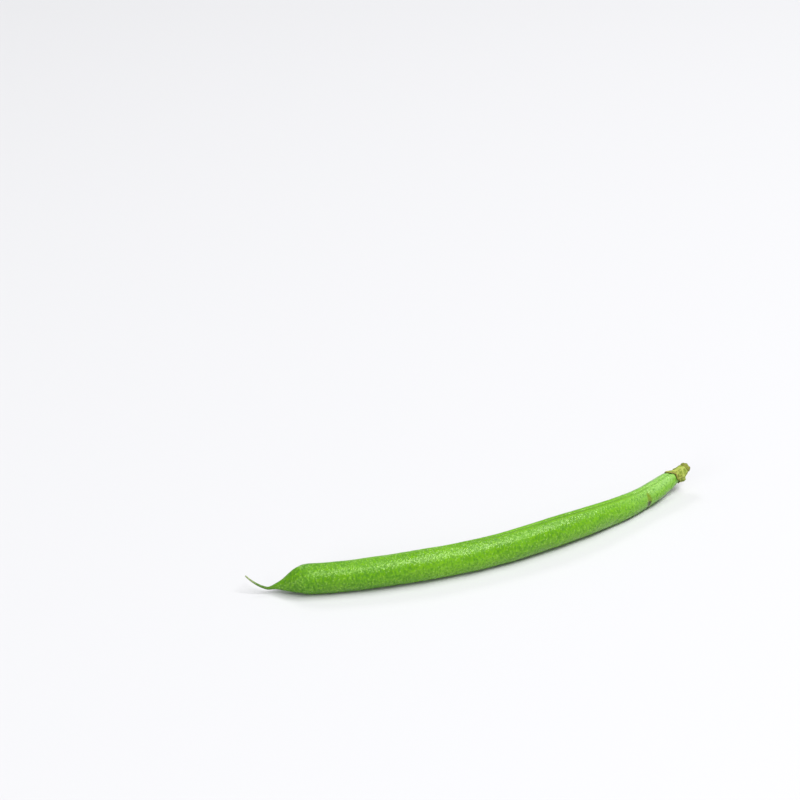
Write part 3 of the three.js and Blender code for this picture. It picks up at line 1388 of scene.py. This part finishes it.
@dataclass
class Stalk:
    """The short flower stalk, snapped off just past the calyx."""

    pod: Pod
    base_gap: float = 0.6 * MM
    length: float = 2.6 * MM
    radius: float = 1.32 * MM
    broken_radius: float = 1.72 * MM
    flare_from: float = 0.5
    ribs: int = 5
    rib_height: float = 0.12 * MM
    bark_from: float = 0.9
    tear: float = 0.5 * MM
    tear_from: float = 0.55
    tear_waves: tuple[tuple[int, float], ...] = ((2, 0.6), (7, 0))
    pith_depth: float = 0.45 * MM
    # The sunk pith's rings: each one's share of the rim's radius, and of the pith's depth
    pith: tuple[tuple[float, float], ...] = ((0.82, 0), (0.66, 1), (0.4, 0.8), (0.18, 1))
    pith_mark: float = 2.0
    pith_mark_from: float = 0.7
    splinter: Splinter = Splinter()
    sides: int = 40
    rings: int = 12
    sharp_past: float = 50
    piece: bpy.types.Object | None = field(default=None, init=False)

    @property
    def base(self) -> float:
        """The station of the stalk's hidden foot."""
        return self.pod.spine.pod_length + self.base_gap

    def along(self, station: float) -> float:
        """Returns the share of the stalk's length that a station is past its foot."""
        return (station - self.base) / self.length

    def ring_radius(self, station: float) -> float:
        """Returns the stalk's radius, which flares towards the break."""
        flare = smooth(self.along(station), self.flare_from)
        return self.radius + (self.broken_radius - self.radius) * flare

    def build(self) -> None:
        """Models the stub, its ribs, its torn end and the splinters on it."""
        self.grow_stub()
        self.tear_end()
        subdivide(self.piece, 1)
        self.add_splinters()
        keep_straight_place(self.piece)

    def grow_stub(self) -> None:
        """Grows the stub from its foot to the break, and sinks the pith into its end."""
        end = self.base + self.length
        rim = self.broken_radius
        outer = [Ring(x, self.ring_radius(x)) for x in spaced(self.base, end, self.rings)]
        inner = [Ring(end - depth * self.pith_depth, width * rim) for width, depth in self.pith]
        self.piece = start_ring("snapped_stalk", outer[0], self.sides, True)
        with editing(self.piece):
            select_open_ring()
            grow(outer)
            grow([outer[-1], *inner])
            close_end()
            face_outwards()

        def rim_share(place: Vector) -> float:
            """Tells the bark from the pith, and how near the bark is to the rim.

            Args:
                place: a place on the straight stalk.

            Returns:
                The share of the way from the foot to the rim, or the pith's mark.
            """
            inside = place.yz.length < self.bark_from * rim
            if inside and self.along(place.x) > self.pith_mark_from:
                return self.pith_mark
            return clamp(self.along(place.x))

        mark_rim(self.piece, rim_share)

    def tear_end(self) -> None:
        """Raises the ribs along the bark and tears the end."""

        def rib(place: Vector) -> float:
            """Returns how near a place is to a rib's crest, on the bark alone."""
            outside = smooth(place.yz.length / self.radius, self.bark_from)
            return outside * (1 + math.cos(self.ribs * turn_of(place))) / 2

        def torn(place: Vector) -> float:
            """Finds how far the tear draws a place out.

            Args:
                place: a place on the straight stalk.

            Returns:
                The share of the tear's length.
            """
            turn = turn_of(place)
            waves = [math.sin(count * turn + shift) for count, shift in self.tear_waves]
            drawn = (1 + sum(waves) / len(waves)) / 2
            return drawn * smooth(self.along(place.x), self.tear_from)

        raise_skin(self.piece, "ribs", self.rib_height, rib)
        raise_skin(self.piece, "tear", self.tear, torn, Push.ALONG)

    def add_splinters(self) -> None:
        """Stands a few stringy fibres on the torn rim, each a copy of one splinter."""
        kind = self.splinter
        draw = random.Random(kind.seed)
        model = kind.model()
        copies = []
        for i in range(kind.count):
            copy = model.copy()
            copy.data = model.data.copy()
            turn = 2 * math.pi * (i + draw.uniform(*kind.astray)) / kind.count
            out = self.broken_radius * draw.uniform(*kind.on_rim)
            station = self.base + self.length + draw.uniform(*kind.rise)
            copy.location = (station, -out * math.sin(turn), out * math.cos(turn))
            copy.rotation_euler = (0, draw.uniform(*kind.lean), draw.uniform(*kind.lean))
            copy.scale = (draw.uniform(*kind.stretch), 1, draw.uniform(*kind.widen))
            bpy.context.collection.objects.link(copy)
            mark_rim(copy, lambda place: kind.rim_mark)
            copies.append(copy)
        bpy.data.objects.remove(model)
        pick(self.piece)
        for copy in copies:
            copy.select_set(True)
        bpy.ops.object.join()

    def dress(self) -> None:
        """Gives the stalk its dry finish and puts it in its solid's place."""
        smooth_shade(self.piece, self.sharp_past)
        self.piece.data.materials.append(DryStalk().material())
        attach(self.piece, "root")
        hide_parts("stalk")


# The studio


@dataclass(frozen=True)
class Softbox:
    """A rectangular soft light that faces the bean.

    Its azimuth is 0 in front of the bean, at -Y, and its elevation is above the horizon, both
    in degrees. Its power is in watts.
    """

    name: str
    azimuth: float
    elevation: float
    power: float
    width: float
    height: float


@dataclass
class Studio:
    """A plain pale floor, soft light from above, and the photograph's camera.

    The strip softbox lays the long highlight along the bean, and the top and back ones carry it
    on to the stalk and the beak. The low fill opens the shade on the side of the camera.
    """

    floor_size: float = 12.0
    floor_colour: str = "#d2d2d4"
    world_colour: str = "#f7f8fa"
    world_strength: float = 0.27
    light_distance: float = 3.0
    softboxes: tuple[Softbox, ...] = (
        Softbox("strip_softbox", 36, 62, 110, 3.6, 0.85),
        Softbox("low_fill", -55, 18, 22, 1.5, 1.0),
        Softbox("top_softbox", 105, 66, 18, 1.0, 0.7),
        Softbox("back_softbox", 182, 44, 14, 0.9, 0.7),
    )
    azimuth: float = -22.49
    elevation: float = 25
    distance: float = 701 * MM
    look_at: tuple[float, float, float] = (15.9 * MM, 108.3 * MM, 0)
    lens: float = 90
    sensor: float = 36
    nearest: float = 10 * MM

    def towards(self, azimuth: float, elevation: float) -> Vector:
        """Returns the direction from the bean to a place round it.

        Args:
            azimuth: degrees round the bean, 0 in front of it at -Y.
            elevation: degrees above the horizon.

        Returns:
            A vector of length 1.
        """
        a, e = math.radians(azimuth), math.radians(elevation)
        return Vector((math.sin(a) * math.cos(e), -math.cos(a) * math.cos(e), math.sin(e)))

    def add_floor(self) -> None:
        """Lays the pale floor."""
        bpy.ops.object.select_all(action="DESELECT")
        bpy.ops.mesh.primitive_plane_add(size=self.floor_size)
        floor = bpy.context.active_object
        floor.name = "studio_floor"
        paint = Painter("matt_white_paper", self.floor_colour)
        floor.data.materials.append(paint.surface({"Roughness": 0.9}))

    def hang(self, softbox: Softbox) -> None:
        """Hangs a softbox.

        Args:
            softbox: its name, place, power and size.
        """
        data = bpy.data.lights.new(softbox.name, "AREA")
        data.energy = softbox.power
        data.shape = "RECTANGLE"
        data.size, data.size_y = softbox.width, softbox.height
        light = bpy.data.objects.new(softbox.name, data)
        out = self.towards(softbox.azimuth, softbox.elevation)
        light.location = out * self.light_distance
        light.rotation_euler = out.to_track_quat("Z", "Y").to_euler()
        bpy.context.collection.objects.link(light)

    def add_camera(self) -> None:
        """Places the camera where the photograph was taken from."""
        data = bpy.data.cameras.new("camera")
        data.lens = self.lens
        data.sensor_width = self.sensor
        data.clip_start = self.nearest
        camera = bpy.data.objects.new("camera", data)
        back = self.towards(self.azimuth, self.elevation)
        camera.location = Vector(self.look_at) + back * self.distance
        camera.rotation_euler = back.to_track_quat("Z", "Y").to_euler()
        bpy.context.collection.objects.link(camera)
        bpy.context.scene.camera = camera

    def build(self) -> None:
        """Sets the floor, the lights, the world and the camera."""
        scene = bpy.context.scene
        scene.view_settings.view_transform = "Standard"
        world = bpy.data.worlds.new("studio")
        world.use_nodes = True
        background = world.node_tree.nodes["Background"]
        background.inputs["Color"].default_value = linear(self.world_colour)
        background.inputs["Strength"].default_value = self.world_strength
        scene.world = world
        self.add_floor()
        for softbox in self.softboxes:
            self.hang(softbox)
        self.add_camera()


def main() -> None:
    """Builds the bean's pieces in order, bends them along the spine and sets the studio."""
    logging.basicConfig(level=logging.INFO, format="%(name)s: %(message)s")
    spine = Spine()
    pod = Pod(spine)
    calyx = Calyx(pod)
    stalk = Stalk(pod)
    for part in (pod, calyx, stalk):
        part.build()
        log.info("modelled %s", part.piece.name)
    spine.lay_guide(pod.piece)
    for part in (pod, calyx, stalk):
        spine.bend(part.piece)
    spine.settle(pod.piece)
    for part in (pod, calyx, stalk):
        spine.place(part.piece)
        part.dress()
        log.info("%s: %d faces", part.piece.name, len(part.piece.data.polygons))
    spine.remove_guide()
    Studio().build()


if __name__ == "__main__":
    main()
